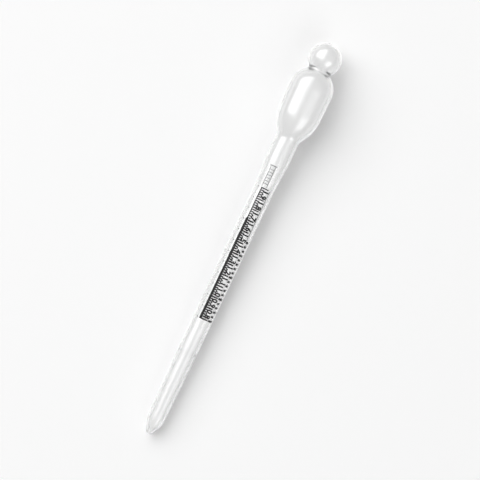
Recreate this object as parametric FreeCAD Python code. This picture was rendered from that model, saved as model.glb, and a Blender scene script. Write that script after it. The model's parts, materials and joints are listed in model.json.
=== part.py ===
"""One-piece blow-moulded dropper pipette: ball, squeeze bulb, collar, graduated stem and rounded nose.

The whole pipette is one hollow turned form in soft clear polyethylene. It is drawn standing on its
nose, as an outer and an inner outline in the (radius, height) half-plane, revolved, and then laid
down as it rests: the shoulder of the bulb and the nose touch the table, along +Y with the ball at
the far end. All lengths are millimetres and all angles are degrees.
"""
import FreeCAD, Part
import math
import os
from collections import namedtuple

# Overall size
OVERALL_LENGTH = 155.0

# Ball on top of the bulb, and the waist between the two
BALL_RADIUS = 6.1
BALL_WALL = 0.8
NECK_RADIUS = 4.45
NECK_ROUND = 1.0

# Squeeze bulb: a hemispherical dome on a slightly tapered barrel
BULB_RADIUS = 8.2
BULB_WALL = 1.0
BARREL_LENGTH = 13.9
BARREL_TAPER = 1.5

# Shoulder, where the bulb narrows to the collar
SHOULDER_ANGLE = 35.0
SHOULDER_WALL = 1.0
SHOULDER_ROUND = 15.0
COLLAR_ROOT_ROUND = 3.5

# Collar, the straight top of the stem, and the draw-down below it
COLLAR_RADIUS = 4.45
COLLAR_LENGTH = 9.0
COLLAR_WALL = 1.0
DRAWDOWN_LENGTH = 10.7
DRAWDOWN_ROUND = 30.0

# Graduated stem, very nearly straight, given by its radius where the tip begins
STEM_RADIUS = 3.62
STEM_TAPER = 0.08
STEM_WALL = 0.95

# Tip: the last stretch of the stem, which narrows faster, and where the bore steps in
TIP_LENGTH = 33.2
TIP_TAPER = 0.65
TIP_ROUND = 60.0
BORE_STEP = 0.2
BORE_STEP_ANGLE = 15.0
BORE_STEP_ROUND = 1.0

# Nose: a rounded end that the bore follows down to a fine drop orifice
NOSE_LENGTH = 4.6
NOSE_FACE_RADIUS = 1.1
NOSE_ROUND = 14.0
FACE_ROUND = 0.6
ORIFICE_RADIUS = 0.7
ORIFICE_LENGTH = 2.0
FUNNEL_ANGLE = 32.0
FUNNEL_ROUND = 5.0

# A rounded corner leaves at least a sliver of straight line on each of its legs
MOST_OF_A_LEG = 0.98

# A straight stretch of the outer outline: a point on it, how fast it narrows downwards, its wall
Stretch = namedtuple("Stretch", "radius height slope wall")
# A corner of an outline turned into a tangent arc
Round = namedtuple("Round", "start middle end centre radius")
# The corners of the outer outline whose rounds touch the table, counted from the shoulder down
SHOULDER_CORNER = 0
NOSE_CORNER = 5


def sin(degrees):
    return math.sin(math.radians(degrees))


def cos(degrees):
    return math.cos(math.radians(degrees))


def tan(degrees):
    return math.tan(math.radians(degrees))


def point(radius, height):
    """A point of the half-plane that is revolved about Z."""
    return FreeCAD.Vector(radius, 0, height)


def downwards(slope):
    """The direction of a stretch that narrows by `slope` as it goes down; 90 runs straight inwards."""
    return point(-sin(slope), -cos(slope))


def inner(stretch):
    """The inside face of a stretch: the same line, moved in by the wall."""
    inwards = point(-cos(stretch.slope), sin(stretch.slope)) * stretch.wall
    return Stretch(stretch.radius + inwards.x, stretch.height + inwards.z, stretch.slope, 0)


def crossing(above, below):
    """The corner where two stretches meet."""
    first, second = downwards(above.slope), downwards(below.slope)
    gap = point(below.radius - above.radius, below.height - above.height)
    along = gap.cross(second).y / first.cross(second).y
    return point(above.radius, above.height) + first * along


def rounded_corner(before, corner, after, radius):
    """The arc of that radius tangent to both legs of a corner, or of the largest that the legs allow."""
    to_start, to_end = before - corner, after - corner
    room = MOST_OF_A_LEG * min(to_start.Length, to_end.Length)
    to_start.normalize()
    to_end.normalize()
    half_turn = (math.pi - to_start.getAngle(to_end)) / 2
    setback = min(radius * math.tan(half_turn), room)
    radius = setback / math.tan(half_turn)
    to_centre = (to_start + to_end).normalize()
    centre = corner + to_centre * (radius / math.cos(half_turn))
    return Round(
        corner + to_start * setback, centre - to_centre * radius, corner + to_end * setback, centre, radius
    )


def rounded_chain(start, corners, radii, end):
    """(edges, rounds) from start through every corner, each rounded by its own radius, to end."""
    edges, rounds, here = [], [], start
    for i, (corner, radius) in enumerate(zip(corners, radii)):
        after = corners[i + 1] if i + 1 < len(corners) else end
        bend = rounded_corner(here, corner, after, radius)
        edges.append(Part.LineSegment(here, bend.start).toShape())
        edges.append(Part.Arc(bend.start, bend.middle, bend.end).toShape())
        rounds.append(bend)
        here = bend.end
    edges.append(Part.LineSegment(here, end).toShape())
    return edges, rounds


def arc_about(height, radius, from_slope, to_slope):
    """An arc about a point on the axis, between the places where its outline has these two slopes."""
    places = [
        point(radius * cos(slope), height - radius * sin(slope))
        for slope in (from_slope, (from_slope + to_slope) / 2, to_slope)
    ]
    return Part.Arc(*places).toShape()


def centre_spacing():
    """How far the ball's centre lies above the dome's, for the waist to have its radius."""
    waist_centre = NECK_RADIUS + NECK_ROUND
    to_ball = math.sqrt((BALL_RADIUS + NECK_ROUND) ** 2 - waist_centre**2)
    to_dome = math.sqrt((BULB_RADIUS + NECK_ROUND) ** 2 - waist_centre**2)
    return to_ball + to_dome


BALL_CENTRE = OVERALL_LENGTH - BALL_RADIUS
DOME_CENTRE = BALL_CENTRE - centre_spacing()


def ball_and_dome(ball_radius, dome_radius):
    """Edges from the pole of the ball, round the waist and over the dome to the top of the barrel."""
    spacing = BALL_CENTRE - DOME_CENTRE
    to_ball, to_dome = ball_radius + NECK_ROUND, dome_radius + NECK_ROUND
    ball_share = (to_ball**2 + spacing**2 - to_dome**2) / (2 * to_ball * spacing)
    dome_share = (to_dome**2 + spacing**2 - to_ball**2) / (2 * to_dome * spacing)
    ball_slope = math.degrees(math.asin(ball_share))
    dome_slope = math.degrees(math.asin(dome_share))
    waist = point(to_ball * cos(ball_slope), BALL_CENTRE - to_ball * sin(ball_slope))
    ball = arc_about(BALL_CENTRE, ball_radius, -90, ball_slope)
    dome = arc_about(DOME_CENTRE, dome_radius, -dome_slope, BARREL_TAPER)
    neck = Part.Arc(
        ball.Vertexes[-1].Point, waist - point(NECK_ROUND, 0), dome.Vertexes[0].Point
    ).toShape()
    return [ball, neck, dome]


def stretches():
    """The straight stretches from the bulb's barrel down to the end of the tip."""
    barrel_top = DOME_CENTRE - BULB_RADIUS * sin(BARREL_TAPER)
    barrel = Stretch(BULB_RADIUS * cos(BARREL_TAPER), barrel_top, BARREL_TAPER, BULB_WALL)
    barrel_end = DOME_CENTRE - BARREL_LENGTH
    barrel_end_radius = barrel.radius - (barrel_top - barrel_end) * tan(BARREL_TAPER)
    shoulder = Stretch(barrel_end_radius, barrel_end, SHOULDER_ANGLE, SHOULDER_WALL)
    collar_top = barrel_end - (barrel_end_radius - COLLAR_RADIUS) / tan(SHOULDER_ANGLE)
    collar_end = collar_top - COLLAR_LENGTH
    collar = Stretch(COLLAR_RADIUS, collar_end, 0, COLLAR_WALL)
    stem_top = collar_end - DRAWDOWN_LENGTH
    stem_top_radius = STEM_RADIUS + (stem_top - TIP_LENGTH) * tan(STEM_TAPER)
    drawdown_slope = math.degrees(math.atan((COLLAR_RADIUS - stem_top_radius) / DRAWDOWN_LENGTH))
    drawdown = Stretch(COLLAR_RADIUS, collar_end, drawdown_slope, STEM_WALL)
    stem = Stretch(STEM_RADIUS, TIP_LENGTH, STEM_TAPER, STEM_WALL)
    tip = Stretch(STEM_RADIUS, TIP_LENGTH, TIP_TAPER, STEM_WALL + BORE_STEP)
    return [barrel, shoulder, collar, drawdown, stem, tip]


def corners_between(lines):
    return [crossing(above, below) for above, below in zip(lines, lines[1:])]


def outer_outline():
    """(edges, rounds) of the outside, from the pole of the ball to the edge of the orifice."""
    top = ball_and_dome(BALL_RADIUS, BULB_RADIUS)
    lines = stretches()
    nose_top_radius = STEM_RADIUS - (TIP_LENGTH - NOSE_LENGTH) * tan(TIP_TAPER)
    nose_slope = math.degrees(math.atan((nose_top_radius - NOSE_FACE_RADIUS) / NOSE_LENGTH))
    nose = Stretch(NOSE_FACE_RADIUS, 0, nose_slope, 0)
    face = Stretch(NOSE_FACE_RADIUS, 0, 90, 0)
    corners = corners_between(lines + [nose, face])
    radii = [
        SHOULDER_ROUND,
        COLLAR_ROOT_ROUND,
        DRAWDOWN_ROUND,
        DRAWDOWN_ROUND,
        TIP_ROUND,
        NOSE_ROUND,
        FACE_ROUND,
    ]
    edges, rounds = rounded_chain(top[-1].Vertexes[-1].Point, corners, radii, point(ORIFICE_RADIUS, 0))
    return top + edges, rounds


def inner_outline():
    """Edges of the inside, from the pole of the ball to the edge of the orifice in the nose's face."""
    top = ball_and_dome(BALL_RADIUS - BALL_WALL, BULB_RADIUS - BULB_WALL)
    *upper, stem, tip = [inner(stretch) for stretch in stretches()]
    step = Stretch(stem.radius, stem.height, BORE_STEP_ANGLE, 0)
    funnel = Stretch(ORIFICE_RADIUS, ORIFICE_LENGTH, FUNNEL_ANGLE, 0)
    corners = corners_between(upper + [stem, step, tip, funnel])
    radii = [
        SHOULDER_ROUND - SHOULDER_WALL,
        COLLAR_ROOT_ROUND + COLLAR_WALL,
        DRAWDOWN_ROUND - STEM_WALL,
        DRAWDOWN_ROUND + STEM_WALL,
        BORE_STEP_ROUND,
        BORE_STEP_ROUND,
        FUNNEL_ROUND,
    ]
    throat = point(ORIFICE_RADIUS, ORIFICE_LENGTH)
    edges, _ = rounded_chain(top[-1].Vertexes[-1].Point, corners, radii, throat)
    orifice = Part.LineSegment(throat, point(ORIFICE_RADIUS, 0)).toShape()
    return top + edges + [orifice]


def resting_angle(bulb_round, nose_round):
    """How far the axis slopes when one line touches both rounds from below."""
    apart = bulb_round.centre - nose_round.centre
    reach = math.hypot(apart.x, apart.z)
    lean = math.acos((nose_round.radius - bulb_round.radius) / reach)
    return math.degrees(lean - math.atan2(apart.z, apart.x))


def laid_down(shape, rounds):
    """The pipette on its side along +Y, with the origin under the middle of its box."""
    bulb_round, nose_round = rounds[SHOULDER_CORNER], rounds[NOSE_CORNER]
    slope = resting_angle(bulb_round, nose_round)
    axis_height = bulb_round.centre.x * cos(slope) - bulb_round.centre.z * sin(slope) + bulb_round.radius
    shape.rotate(FreeCAD.Vector(0, 0, 0), FreeCAD.Vector(1, 0, 0), slope - 90)
    box = shape.optimalBoundingBox(False, False)
    shape.translate(FreeCAD.Vector(0, -box.Center.y, axis_height))
    return shape


def pipette_body():
    """The one moulded piece, as a hollow solid of revolution, lying as it rests."""
    outside, rounds = outer_outline()
    inside = inner_outline()
    crown = Part.LineSegment(point(0, OVERALL_LENGTH), point(0, OVERALL_LENGTH - BALL_WALL)).toShape()
    outline = Part.Wire(outside + inside[::-1] + [crown])
    section = Part.Face(outline)
    solid = section.revolve(FreeCAD.Vector(0, 0, 0), FreeCAD.Vector(0, 0, 1), 360)
    return laid_down(solid, rounds)


def main():
    os.makedirs("parts", exist_ok=True)
    pipette_body().exportStep("parts/pipette_body.step")


main()
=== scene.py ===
"""Looks of the clear dropper pipette: the glossy moulded wall, its printed volume scale and the studio.

Lengths are metres unless a name says otherwise. A place on the pipette is given by its height above the
nose along the pipette's own axis and by its turn about that axis, which is 0 on the top of the lying
pipette and grows towards +X. Printed shapes are drawn flat first, across the stem and along it.
"""
import json
import math
import bmesh
import bpy
from mathutils import Matrix, Vector
from mathutils.bvhtree import BVHTree


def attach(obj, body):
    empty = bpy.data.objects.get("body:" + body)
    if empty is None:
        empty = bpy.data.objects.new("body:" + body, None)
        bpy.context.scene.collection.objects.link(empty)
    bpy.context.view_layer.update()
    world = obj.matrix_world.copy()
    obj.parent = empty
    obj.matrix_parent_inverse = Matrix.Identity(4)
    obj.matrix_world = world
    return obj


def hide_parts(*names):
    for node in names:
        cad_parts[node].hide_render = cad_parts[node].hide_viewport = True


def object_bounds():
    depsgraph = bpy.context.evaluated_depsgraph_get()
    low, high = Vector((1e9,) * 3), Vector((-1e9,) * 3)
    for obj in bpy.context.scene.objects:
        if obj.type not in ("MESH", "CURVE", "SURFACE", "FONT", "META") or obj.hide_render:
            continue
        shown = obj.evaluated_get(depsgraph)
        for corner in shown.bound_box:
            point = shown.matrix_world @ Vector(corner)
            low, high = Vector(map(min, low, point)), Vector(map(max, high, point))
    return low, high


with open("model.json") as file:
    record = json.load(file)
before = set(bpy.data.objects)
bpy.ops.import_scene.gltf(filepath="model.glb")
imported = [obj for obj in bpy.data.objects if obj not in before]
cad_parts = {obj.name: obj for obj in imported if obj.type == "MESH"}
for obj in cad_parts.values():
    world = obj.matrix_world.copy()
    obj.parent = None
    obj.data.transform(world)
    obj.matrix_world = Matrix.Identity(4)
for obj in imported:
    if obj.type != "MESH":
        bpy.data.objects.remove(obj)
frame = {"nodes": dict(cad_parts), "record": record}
cad_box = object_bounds()
body = frame["nodes"]["pipette_body"]

MM = 0.001
ML_PER_M3 = 1e6
WHITE = (1, 1, 1, 1)

# The finer wall. A point of the seam is at most ON_SEAM off its half-plane, and is rounded to that many
# digits. Two chords of the seam lie on one arc if their lengths differ by less than that share and they
# turn by between those angles. Each chord of an arc is cut into CUTS, each ring has TURNS steps, and an
# edge over SHARP isn't smoothed
ON_SEAM = 0.0003 * MM
SEAM_DIGITS = 7
MOST_UNEVEN = 0.04
LEAST_TURN = math.radians(1)
MOST_TURN = math.radians(15)
CUTS = 3
TURNS = 120
SHARP = math.radians(30)

# Farther from the axis than any of the wall
FAR = 50 * MM

# Clear polyethylene: the share of light it lets through, how it bends it, the least and most of its
# haze, the soft waves of the moulding, the sheen over it, and the grey of its body
CLEAR_SHARE = 0.88
CLEAR_IOR = 1.51
CLEAR_ROUGHNESS = (0.03, 0.09)
HAZE_SCALE = 700.0
WAVE_SCALE = 160.0
WAVE_STRETCH = (1.0, 0.35, 1.0)
WAVE_DEPTH = 0.3 * MM
SHEEN_ROUGHNESS = 0.25
SHEEN_IOR = 1.55
BODY_GREY = (0.75, 0.755, 0.755, 1)
BODY_DENSITY = 180.0

# Ink and paper: each one's darkest and lightest grey, and how fine its grain is
BLACK_GREYS = (0.003, 0.02)
THIN_GREYS = (0.08, 0.2)
INK_GRAIN = 2500.0
INK_ROUGHNESS = (0.42, 0.58)
INK_SPECULAR = 0.25
PAPER_GREYS = (0.89, 0.91)
PAPER_GRAIN = 400.0

# The layer of ink: how far its top stands proud of the wall, how far its underside is keyed in, the
# widest flat strip it is made of as it wraps round, and how near a corner counts as on a cut
INK_PROUD = 0.012 * MM
INK_SUNK = 0.02 * MM
WRAP_STEP = 0.22 * MM
ON_CUT = 0.01 * MM

# The scale's volumes in millilitres. They are measured in discs of the bore, up to that height
FIRST_VOLUME = 0.8
LAST_VOLUME = 2.0
FINE_STEP = 0.02
FINE_IN_MAJOR = 5
DISC = 0.5 * MM
BORE_TOP = 110 * MM

# The main row. Pairs are the left and right of a mark across the stem, from its top line. The rail and
# its ticks are heavy up to HEAVY_RAIL_TOP, as in the photograph, and light above it
RAIL = (-1.2 * MM, -0.8 * MM)
HEAVY_RAIL = (-1.5 * MM, -0.55 * MM)
HEAVY_RAIL_TOP = 86 * MM
FINE_END = 0.25 * MM
MAJOR_END = 1.8 * MM
TICK = 0.56 * MM
LIGHT_TICK = 0.4 * MM
NUMERAL_SIZE = 2.8 * MM
NUMERAL_MIDDLE = 1.05 * MM
NUMERAL_BOLD = 0.14 * MM
NUMERAL_CUTS = 3

# The row of dashes on the right flank, and the thin hooked rail above it
SIDE_DASH = (2.5 * MM, 3.9 * MM)
SIDE_LONG_DASH = (2.1 * MM, 4.3 * MM)
SIDE_THICK = 0.78 * MM
SIDE_TOP = 78 * MM
SIDE_RAIL = (2.35 * MM, 2.55 * MM)
SIDE_RAIL_TOP = 97.5 * MM

# The dots on the left flank
DOT_ACROSS = -2.4 * MM
DOT_RADIUS = 0.2 * MM
DOT_SIDES = 12

# The ladder above the scale: its two posts, its top, the pitch of its rungs, and its thin lines
LADDER = (-1.3 * MM, 0.7 * MM)
LADDER_TOP = 106.5 * MM
LADDER_RUNG = 1.1 * MM
THIN = 0.2 * MM

# The world's light on surfaces, and what it shows to each kind of ray
WORLD_FILL = 0.14
WORLD_SEEN = {"Is Glossy Ray": 0.6, "Is Transmission Ray": 0.85, "Is Camera Ray": 1.0}

# Two panel lamps: their height, the left, right, near and far edge of each as shares of that height,
# their radiance, and the share of a panel's width that fades out at each edge
LAMP_HEIGHT = 4.0
MAIN_PANEL = (-3.1, 0.1, -0.65, 2.3)
MAIN_RADIANCE = 2.95
LOW_PANEL = (0.2, 1.8, -1.4, -0.02)
LOW_RADIANCE = 1.4
LAMP_EDGE = 0.22

# The table: its side, its glow to the eye and in reflections, and the even white that it mostly is to a
# ray that has come through the clear wall
TABLE_SIZE = 6.0
FLOOR_LIFT = 0.16
FLOOR_LIFT_IN_GLOSS = 0.56
FLOOR_INSIDE = 1.0
INSIDE_SHARE = 0.95

# Camera: straight down, turned so that the pipette leans to the right, and how wide it sees there
VIEW_TURN = math.radians(25.2)
VIEW_WIDTH = 172 * MM
LENS_MM = 100.0
SENSOR_MM = 36.0


# ---------------------------------------------------------------- the pipette's own axis and wall

def own_axis():
    """(point on the axis at the nose, unit vector from the nose to the ball) of the lying pipette."""
    pin = next(mount for mount in frame["record"]["mounts"] if mount["kind"] == "pin")
    along = -Vector(pin["axis"])
    on_axis = Vector(pin["pos_m"])
    lowest = min((vertex.co - on_axis).dot(along) for vertex in body.data.vertices)
    return on_axis + along * lowest, along


NOSE, ALONG = own_axis()
SIDE = Vector((1, 0, 0))
TOP = SIDE.cross(ALONG)


def outwards(turn):
    """The unit vector away from the axis at that turn."""
    return TOP * math.cos(turn) + SIDE * math.sin(turn)


def seam():
    """[(radius, height)] down the outside and up the bore, where the CAD node's mesh faces +X."""
    places = {}
    for vertex in body.data.vertices:
        offset = vertex.co - NOSE
        if abs(offset.dot(TOP)) < ON_SEAM and offset.dot(SIDE) > -ON_SEAM:
            places[vertex.index] = tuple(round(offset.dot(way), SEAM_DIGITS) for way in (SIDE, ALONG))
    beside = {place: set() for place in places.values()}
    for edge in body.data.edges:
        here, there = (places.get(index) for index in edge.vertices)
        if here and there and here != there:
            beside[here].add(there)
            beside[there].add(here)
    ends = (place for place in beside if len(beside[place]) == 1)
    path = [max(ends, key=lambda place: place[1])]
    while True:
        onwards = beside[path[-1]] - set(path[-2:])
        if not onwards:
            return [Vector(place) for place in path]
        path.append(onwards.pop())


def arc_centre(first, second, third):
    """The centre of the arc that three evenly spaced points lie on, or None where they mark no arc."""
    before, after = second - first, third - second
    turn = abs(before.angle_signed(after))
    uneven = abs(before.length - after.length) / before.length
    if uneven > MOST_UNEVEN or not LEAST_TURN < turn < MOST_TURN:
        return None
    inwards = (after.normalized() - before.normalized()).normalized()
    return second + inwards * before.length / (2 * math.sin(turn / 2))


def finer(outline):
    """The outline with every chord of an arc cut into shorter ones on the same arc."""
    points = [outline[0]]
    for i, (here, there) in enumerate(zip(outline, outline[1:])):
        trios = [outline[k : k + 3] for k in (i - 1, i) if k >= 0 and k + 3 <= len(outline)]
        centre = next(filter(None, (arc_centre(*trio) for trio in trios)), None)
        if centre:
            for cut in range(1, CUTS):
                spoke = here.lerp(there, cut / CUTS) - centre
                points.append(centre + spoke.normalized() * (here - centre).length)
        points.append(there)
    return points


def moulded_wall():
    """The whole hollow wall, turned from the CAD node's own outline in finer steps than its mesh has."""
    form = bmesh.new()
    rings = []
    for radius, height in finer(seam()):
        centre = NOSE + ALONG * height
        if radius < ON_SEAM:
            rings.append([form.verts.new(centre)] * TURNS)
        else:
            turns = [2 * math.pi * k / TURNS for k in range(TURNS)]
            rings.append([form.verts.new(centre + outwards(turn) * radius) for turn in turns])
    for above, below in zip(rings, rings[1:]):
        for k in range(TURNS):
            corners = (above[k - 1], below[k - 1], below[k], above[k])
            form.faces.new(list(dict.fromkeys(corners))).smooth = True
    bmesh.ops.recalc_face_normals(form, faces=form.faces[:])
    mesh = bpy.data.meshes.new("moulded_wall")
    form.to_mesh(mesh)
    form.free()
    mesh.set_sharp_from_angle(angle=SHARP)
    wall = bpy.data.objects.new("moulded_wall", mesh)
    bpy.context.scene.collection.objects.link(wall)
    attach(wall, "root")
    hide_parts("pipette_body")
    return wall


WALL = moulded_wall()
SURFACE = BVHTree.FromPolygons(
    [vertex.co for vertex in WALL.data.vertices],
    [tuple(polygon.vertices) for polygon in WALL.data.polygons],
)


def outer_radius(height, turn=0.0):
    """How far the outside of the wall is from the axis."""
    centre = NOSE + ALONG * height
    ray = outwards(turn)
    return FAR - SURFACE.ray_cast(centre + ray * FAR, -ray)[3]


def inner_radius(height):
    """How far the bore's wall is from the axis."""
    return SURFACE.ray_cast(NOSE + ALONG * height, TOP)[3]


# ---------------------------------------------------------------- materials

def new_material(name):
    """A material with an empty node tree, and its tree."""
    material = bpy.data.materials.new(name)
    material.use_nodes = True
    material.node_tree.nodes.clear()
    return material, material.node_tree


def add_node(tree, kind, **settings):
    """A node with the settings given: sockets by their names with _ for a space, and other attributes."""
    node = tree.nodes.new("ShaderNode" + kind)
    for key, value in settings.items():
        name = key.replace("_", " ")
        if name in node.inputs:
            node.inputs[name].default_value = value
        else:
            setattr(node, key, value)
    return node


def add_math(tree, operation, second=None):
    """A math node, with its second input set if a number is given for it."""
    node = add_node(tree, "Math", operation=operation)
    if second is not None:
        node.inputs[1].default_value = second
    return node


def add_range(tree, least, most):
    """A node that spreads a noise of 0 to 1 over that range."""
    return add_node(tree, "MapRange", To_Min=least, To_Max=most)


def wire(tree, *wires):
    """Links each (node, its output, node, its input), with a socket given by its name or its number."""
    for start, output, end, socket in wires:
        tree.links.new(start.outputs[output], end.inputs[socket])


def grey(tree, shade):
    """A colour node whose three channels are all the result of the node given."""
    colour = add_node(tree, "CombineColor")
    wire(tree, *((shade, "Result", colour, channel) for channel in ("Red", "Green", "Blue")))
    return colour


def clear_plastic():
    """Clear polyethylene: a little milky, glossy, softly wavy as it left the mould, with a faint haze."""
    material, tree = new_material("clear_polyethylene")
    place = add_node(tree, "TexCoord")
    drawn = add_node(tree, "Mapping", Scale=WAVE_STRETCH)
    waves = add_node(tree, "TexNoise", Scale=WAVE_SCALE, Detail=1.0)
    haze = add_node(tree, "TexNoise", Scale=HAZE_SCALE, Detail=4.0)
    relief = add_node(tree, "Bump", Strength=1.0, Distance=WAVE_DEPTH)
    dull = add_range(tree, *CLEAR_ROUGHNESS)
    shader = add_node(
        tree,
        "BsdfPrincipled",
        Base_Color=WHITE,
        Transmission_Weight=CLEAR_SHARE,
        IOR=CLEAR_IOR,
        Coat_Weight=1.0,
        Coat_Roughness=SHEEN_ROUGHNESS,
        Coat_IOR=SHEEN_IOR,
    )
    smoke = add_node(tree, "VolumeAbsorption", Color=BODY_GREY, Density=BODY_DENSITY)
    out = add_node(tree, "OutputMaterial")
    wire(
        tree,
        (place, "Object", drawn, "Vector"),
        (drawn, "Vector", waves, "Vector"),
        (place, "Object", haze, "Vector"),
        (waves, "Fac", relief, "Height"),
        (haze, "Fac", dull, "Value"),
        (dull, "Result", shader, "Roughness"),
        (relief, "Normal", shader, "Normal"),
        (relief, "Normal", shader, "Coat Normal"),
        (shader, "BSDF", out, "Surface"),
        (smoke, "Volume", out, "Volume"),
    )
    return material


def ink(name, greys):
    """Screen-printed ink: cloudy between two greys, on a fine grain."""
    material, tree = new_material(name)
    place = add_node(tree, "TexCoord")
    grain = add_node(tree, "TexNoise", Scale=INK_GRAIN, Detail=3.0)
    shade = add_range(tree, *greys)
    dull = add_range(tree, *INK_ROUGHNESS)
    shader = add_node(tree, "BsdfPrincipled", Specular_IOR_Level=INK_SPECULAR)
    out = add_node(tree, "OutputMaterial")
    wire(
        tree,
        (place, "Object", grain, "Vector"),
        (grain, "Fac", shade, "Value"),
        (grain, "Fac", dull, "Value"),
        (grey(tree, shade), "Color", shader, "Base Color"),
        (dull, "Result", shader, "Roughness"),
        (shader, "BSDF", out, "Surface"),
    )
    return material


WALL.data.materials.append(clear_plastic())
BLACK_INK = ink("black_ink", BLACK_GREYS)
THIN_INK = ink("thin_ink", THIN_GREYS)


# ---------------------------------------------------------------- printed scale

def bore_volumes():
    """[(height, volume below it in millilitres)] from the nose up, by thin discs of the bore."""
    table = [(0.0, 0.0)]
    while table[-1][0] < BORE_TOP:
        height, volume = table[-1]
        disc = math.pi * inner_radius(height + DISC / 2) ** 2 * DISC
        table.append((height + DISC, volume + disc * ML_PER_M3))
    return table


def height_of(volume, table):
    """The height at which the bore holds that volume."""
    for (low, below), (high, above) in zip(table, table[1:]):
        if above >= volume:
            return low + (high - low) * (volume - below) / (above - below)
    raise ValueError("the scale runs past the stem")


def bar(sheet, left, right, bottom, top):
    """A flat rectangle of ink."""
    corners = ((left, bottom), (right, bottom), (right, top), (left, top))
    sheet.faces.new([sheet.verts.new((across, along, 0)) for across, along in corners])


def dot(sheet, across, along, radius):
    """A flat disc of ink."""
    turns = [2 * math.pi * side / DOT_SIDES for side in range(DOT_SIDES)]
    rim = [(across + radius * math.cos(turn), along + radius * math.sin(turn), 0) for turn in turns]
    sheet.faces.new([sheet.verts.new(point) for point in rim])


def numeral(sheet, text, size, across, along):
    """A flat number that reads along the stem, from the bulb to the nose, with its middle at that place."""
    curve = bpy.data.curves.new("numeral", "FONT")
    curve.body = text
    curve.size = size
    curve.align_x = "CENTER"
    curve.align_y = "CENTER"
    curve.offset = NUMERAL_BOLD
    curve.resolution_u = NUMERAL_CUTS
    holder = bpy.data.objects.new("numeral", curve)
    outline = bpy.data.meshes.new_from_object(holder)
    outline.transform(Matrix.Translation((across, along, 0)) @ Matrix.Rotation(-math.pi / 2, 4, "Z"))
    sheet.from_mesh(outline)
    bpy.data.objects.remove(holder)
    bpy.data.curves.remove(curve)
    bpy.data.meshes.remove(outline)


def cut_to_wrap(sheet):
    """Cuts the flat sheet into strips narrow enough to follow the round of the stem."""
    reach = [vertex.co.x for vertex in sheet.verts]
    cut = math.ceil(min(reach) / WRAP_STEP) * WRAP_STEP
    while cut < max(reach):
        geometry = sheet.verts[:] + sheet.edges[:] + sheet.faces[:]
        bmesh.ops.bisect_plane(
            sheet, geom=geometry, dist=ON_CUT, plane_co=(cut, 0, 0), plane_no=(1, 0, 0)
        )
        cut += WRAP_STEP


def thicken(sheet):
    """Closes the flat sheet with a top and sides, all facing outwards. Returns [(corner, corner above)]."""
    above = {corner: sheet.verts.new(corner.co) for corner in sheet.verts[:]}
    for face in sheet.faces[:]:
        sheet.faces.new([above[corner] for corner in face.verts])
        for loop in face.loops[:]:
            if loop.edge.is_boundary:
                start, end = loop.vert, loop.link_loop_next.vert
                sheet.faces.new((start, end, above[end], above[start]))
        face.normal_flip()
    return list(above.items())


def printed(name, sheet, material):
    """Makes the flat sheet a thin closed layer of ink, wrapped on the stem and keyed into its wall."""
    cut_to_wrap(sheet)
    for under, over in thicken(sheet):
        across, height, _ = under.co
        turn = across / outer_radius(height)
        centre = NOSE + ALONG * height
        wall_radius = outer_radius(height, turn)
        under.co = centre + outwards(turn) * (wall_radius - INK_SUNK)
        over.co = centre + outwards(turn) * (wall_radius + INK_PROUD)
    mesh = bpy.data.meshes.new(name)
    sheet.to_mesh(mesh)
    sheet.free()
    mesh.materials.append(material)
    layer = bpy.data.objects.new(name, mesh)
    bpy.context.scene.collection.objects.link(layer)
    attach(layer, "root")


def scale_marks():
    """[(height, how many fine steps)] of every graduation from the first volume to the last."""
    table = bore_volumes()
    steps = round((LAST_VOLUME - FIRST_VOLUME) / FINE_STEP)
    return [(height_of(FIRST_VOLUME + FINE_STEP * step, table), step) for step in range(steps + 1)]


MARKS = scale_marks()
SCALE_BOTTOM, SCALE_TOP = MARKS[0][0], MARKS[-1][0]


def main_scale():
    """A rail with a tick for every fine step, a long one for every tenth, and its number beside it."""
    sheet = bmesh.new()
    bar(sheet, *HEAVY_RAIL, SCALE_BOTTOM - TICK / 2, HEAVY_RAIL_TOP)
    bar(sheet, *RAIL, HEAVY_RAIL_TOP, SCALE_TOP + LIGHT_TICK / 2)
    for height, step in MARKS:
        heavy = height + TICK / 2 < HEAVY_RAIL_TOP
        left = HEAVY_RAIL[1] if heavy else RAIL[1]
        right = FINE_END if step % FINE_IN_MAJOR else MAJOR_END
        half = (TICK if heavy else LIGHT_TICK) / 2
        bar(sheet, left, right, height - half, height + half)
    majors = MARKS[::FINE_IN_MAJOR]
    for (low, step), (high, _) in zip(majors, majors[1:]):
        volume = FIRST_VOLUME + FINE_STEP * step
        numeral(sheet, f"{volume:.1f}", NUMERAL_SIZE, NUMERAL_MIDDLE, (low + high) / 2)
    printed("scale_main", sheet, BLACK_INK)


def side_scale():
    """Coarser dashes down the flank, and a thin hooked rail above them."""
    sheet = bmesh.new()
    half = SIDE_THICK / 2
    for height, step in MARKS[::2]:
        if height < SIDE_TOP:
            reach = SIDE_DASH if step % (2 * FINE_IN_MAJOR) else SIDE_LONG_DASH
            bar(sheet, *reach, height - half, height + half)
    bar(sheet, *SIDE_RAIL, SIDE_TOP, SIDE_RAIL_TOP)
    bar(sheet, SIDE_RAIL[1], SIDE_RAIL[1] + 2 * THIN, SIDE_RAIL_TOP - THIN, SIDE_RAIL_TOP)
    printed("scale_side", sheet, BLACK_INK)


def dot_row():
    """A small dot on the other flank for every tenth."""
    sheet = bmesh.new()
    for height, _ in MARKS[::FINE_IN_MAJOR]:
        dot(sheet, DOT_ACROSS, height, DOT_RADIUS)
    printed("scale_dots", sheet, BLACK_INK)


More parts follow.
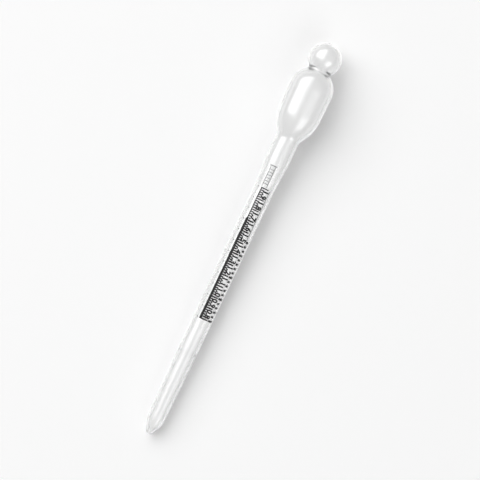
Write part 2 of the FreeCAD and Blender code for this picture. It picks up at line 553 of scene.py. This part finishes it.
def top_ladder():
    """A faint ladder above the scale, closed by a cross-bar."""
    sheet = bmesh.new()
    left, right = LADDER
    bottom = SCALE_TOP + TICK
    bar(sheet, left, left + THIN, bottom, LADDER_TOP)
    bar(sheet, right - THIN, right, bottom, LADDER_TOP)
    rung = bottom + LADDER_RUNG
    while rung < LADDER_TOP - LADDER_RUNG / 2:
        bar(sheet, left + THIN, right - THIN, rung, rung + THIN)
        rung += LADDER_RUNG
    bar(sheet, left - 2 * THIN, right + 2 * THIN, LADDER_TOP, LADDER_TOP + TICK / 2)
    printed("scale_top", sheet, THIN_INK)


main_scale()
side_scale()
dot_row()
top_ladder()


# ---------------------------------------------------------------- studio

def floor_material():
    """White paper that keeps its shadows, lifted a little to the eye and more in reflections.

    A ray that has come through the clear wall sees mostly an even white, so no rim is overbright.
    """
    material, tree = new_material("white_table")
    path = add_node(tree, "LightPath")
    in_gloss = add_math(tree, "MULTIPLY", FLOOR_LIFT_IN_GLOSS)
    lift = add_math(tree, "MULTIPLY_ADD", FLOOR_LIFT)
    glow = add_node(tree, "Emission", Color=WHITE)
    place = add_node(tree, "TexCoord")
    grain = add_node(tree, "TexNoise", Scale=PAPER_GRAIN, Detail=3.0)
    shade = add_range(tree, *PAPER_GREYS)
    paper = add_node(tree, "BsdfDiffuse")
    open_paper = add_node(tree, "AddShader")
    inside = add_node(tree, "Emission", Color=WHITE, Strength=FLOOR_INSIDE)
    share = add_math(tree, "MULTIPLY", INSIDE_SHARE)
    both = add_node(tree, "MixShader")
    out = add_node(tree, "OutputMaterial")
    wire(
        tree,
        (path, "Is Glossy Ray", in_gloss, 0),
        (path, "Is Camera Ray", lift, 0),
        (in_gloss, 0, lift, 2),
        (lift, 0, glow, "Strength"),
        (place, "Object", grain, "Vector"),
        (grain, "Fac", shade, "Value"),
        (grey(tree, shade), "Color", paper, "Color"),
        (paper, 0, open_paper, 0),
        (glow, 0, open_paper, 1),
        (path, "Is Transmission Ray", share, 0),
        (share, 0, both, "Fac"),
        (open_paper, 0, both, 1),
        (inside, 0, both, 2),
        (both, 0, out, "Surface"),
    )
    return material


def paper_table():
    """A wide sheet of paper at the pipette's lowest point."""
    lowest = min(cad_box[0].z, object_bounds()[0].z)
    bpy.ops.mesh.primitive_plane_add(size=TABLE_SIZE, location=(0, 0, lowest))
    floor = bpy.context.object
    floor.name = "table"
    floor.data.materials.append(floor_material())


def fade_to_edges(tree):
    """The panel glows less and less towards its four edges, as cloth over a lamp does.

    Its two Parametric places run from 0 to 1, so its middle is at 0.5 and its edges are 0.5 away.
    """
    tree.nodes.clear()
    place = add_node(tree, "NewGeometry")
    parts = add_node(tree, "SeparateXYZ")
    both = add_math(tree, "MULTIPLY")
    glow = add_node(tree, "Emission", Color=WHITE)
    out = add_node(tree, "OutputLight")
    wire(
        tree,
        (place, "Parametric", parts, "Vector"),
        (both, 0, glow, "Strength"),
        (glow, "Emission", out, "Surface"),
    )
    for i, axis in enumerate("XY"):
        offset = add_math(tree, "SUBTRACT", 0.5)
        away = add_math(tree, "ABSOLUTE")
        fade = add_node(tree, "MapRange", From_Min=0.5, From_Max=0.5 - LAMP_EDGE)
        fade.interpolation_type = "SMOOTHSTEP"
        wire(
            tree,
            (parts, axis, offset, 0),
            (offset, 0, away, 0),
            (away, 0, fade, "Value"),
            (fade, "Result", both, i),
        )


def softbox(name, panel, radiance):
    """A level panel lamp squared to the axes, brightest over its middle and fading out to its edges."""
    left, right, near, far = (LAMP_HEIGHT * share for share in panel)
    data = bpy.data.lights.new(name, "AREA")
    data.shape = "RECTANGLE"
    data.size = right - left
    data.size_y = far - near
    data.energy = radiance * math.pi * data.size * data.size_y
    data.use_nodes = True
    fade_to_edges(data.node_tree)
    lamp = bpy.data.objects.new(name, data)
    lamp.location = ((left + right) / 2, (near + far) / 2, LAMP_HEIGHT)
    lamp.visible_camera = False
    bpy.context.scene.collection.objects.link(lamp)


def studio_world():
    """Even grey light on the table and the pipette; paler to reflections, and white to look at."""
    world = bpy.data.worlds.new("studio")
    world.use_nodes = True
    tree = world.node_tree
    tree.nodes.clear()
    path = add_node(tree, "LightPath")
    out = add_node(tree, "OutputWorld")
    level = add_node(tree, "Background", Color=WHITE, Strength=WORLD_FILL)
    for ray, strength in WORLD_SEEN.items():
        brighter = add_node(tree, "Background", Color=WHITE, Strength=strength)
        choice = add_node(tree, "MixShader")
        wire(tree, (path, ray, choice, "Fac"), (level, 0, choice, 1), (brighter, 0, choice, 2))
        level = choice
    wire(tree, (level, 0, out, "Surface"))
    return world


def photo_camera():
    """The photograph's own view: straight down on the middle of the pipette."""
    data = bpy.data.cameras.new("camera")
    data.lens = LENS_MM
    data.sensor_width = SENSOR_MM
    camera = bpy.data.objects.new("camera", data)
    middle = (cad_box[0] + cad_box[1]) / 2
    distance = VIEW_WIDTH * LENS_MM / SENSOR_MM
    camera.location = (middle.x, middle.y, middle.z + distance)
    camera.rotation_euler = (0, 0, VIEW_TURN)
    bpy.context.scene.collection.objects.link(camera)
    return camera


paper_table()
softbox("main_softbox", MAIN_PANEL, MAIN_RADIANCE)
softbox("low_softbox", LOW_PANEL, LOW_RADIANCE)
bpy.context.scene.world = studio_world()
bpy.context.scene.camera = photo_camera()
bpy.context.scene.view_settings.view_transform = "Standard"
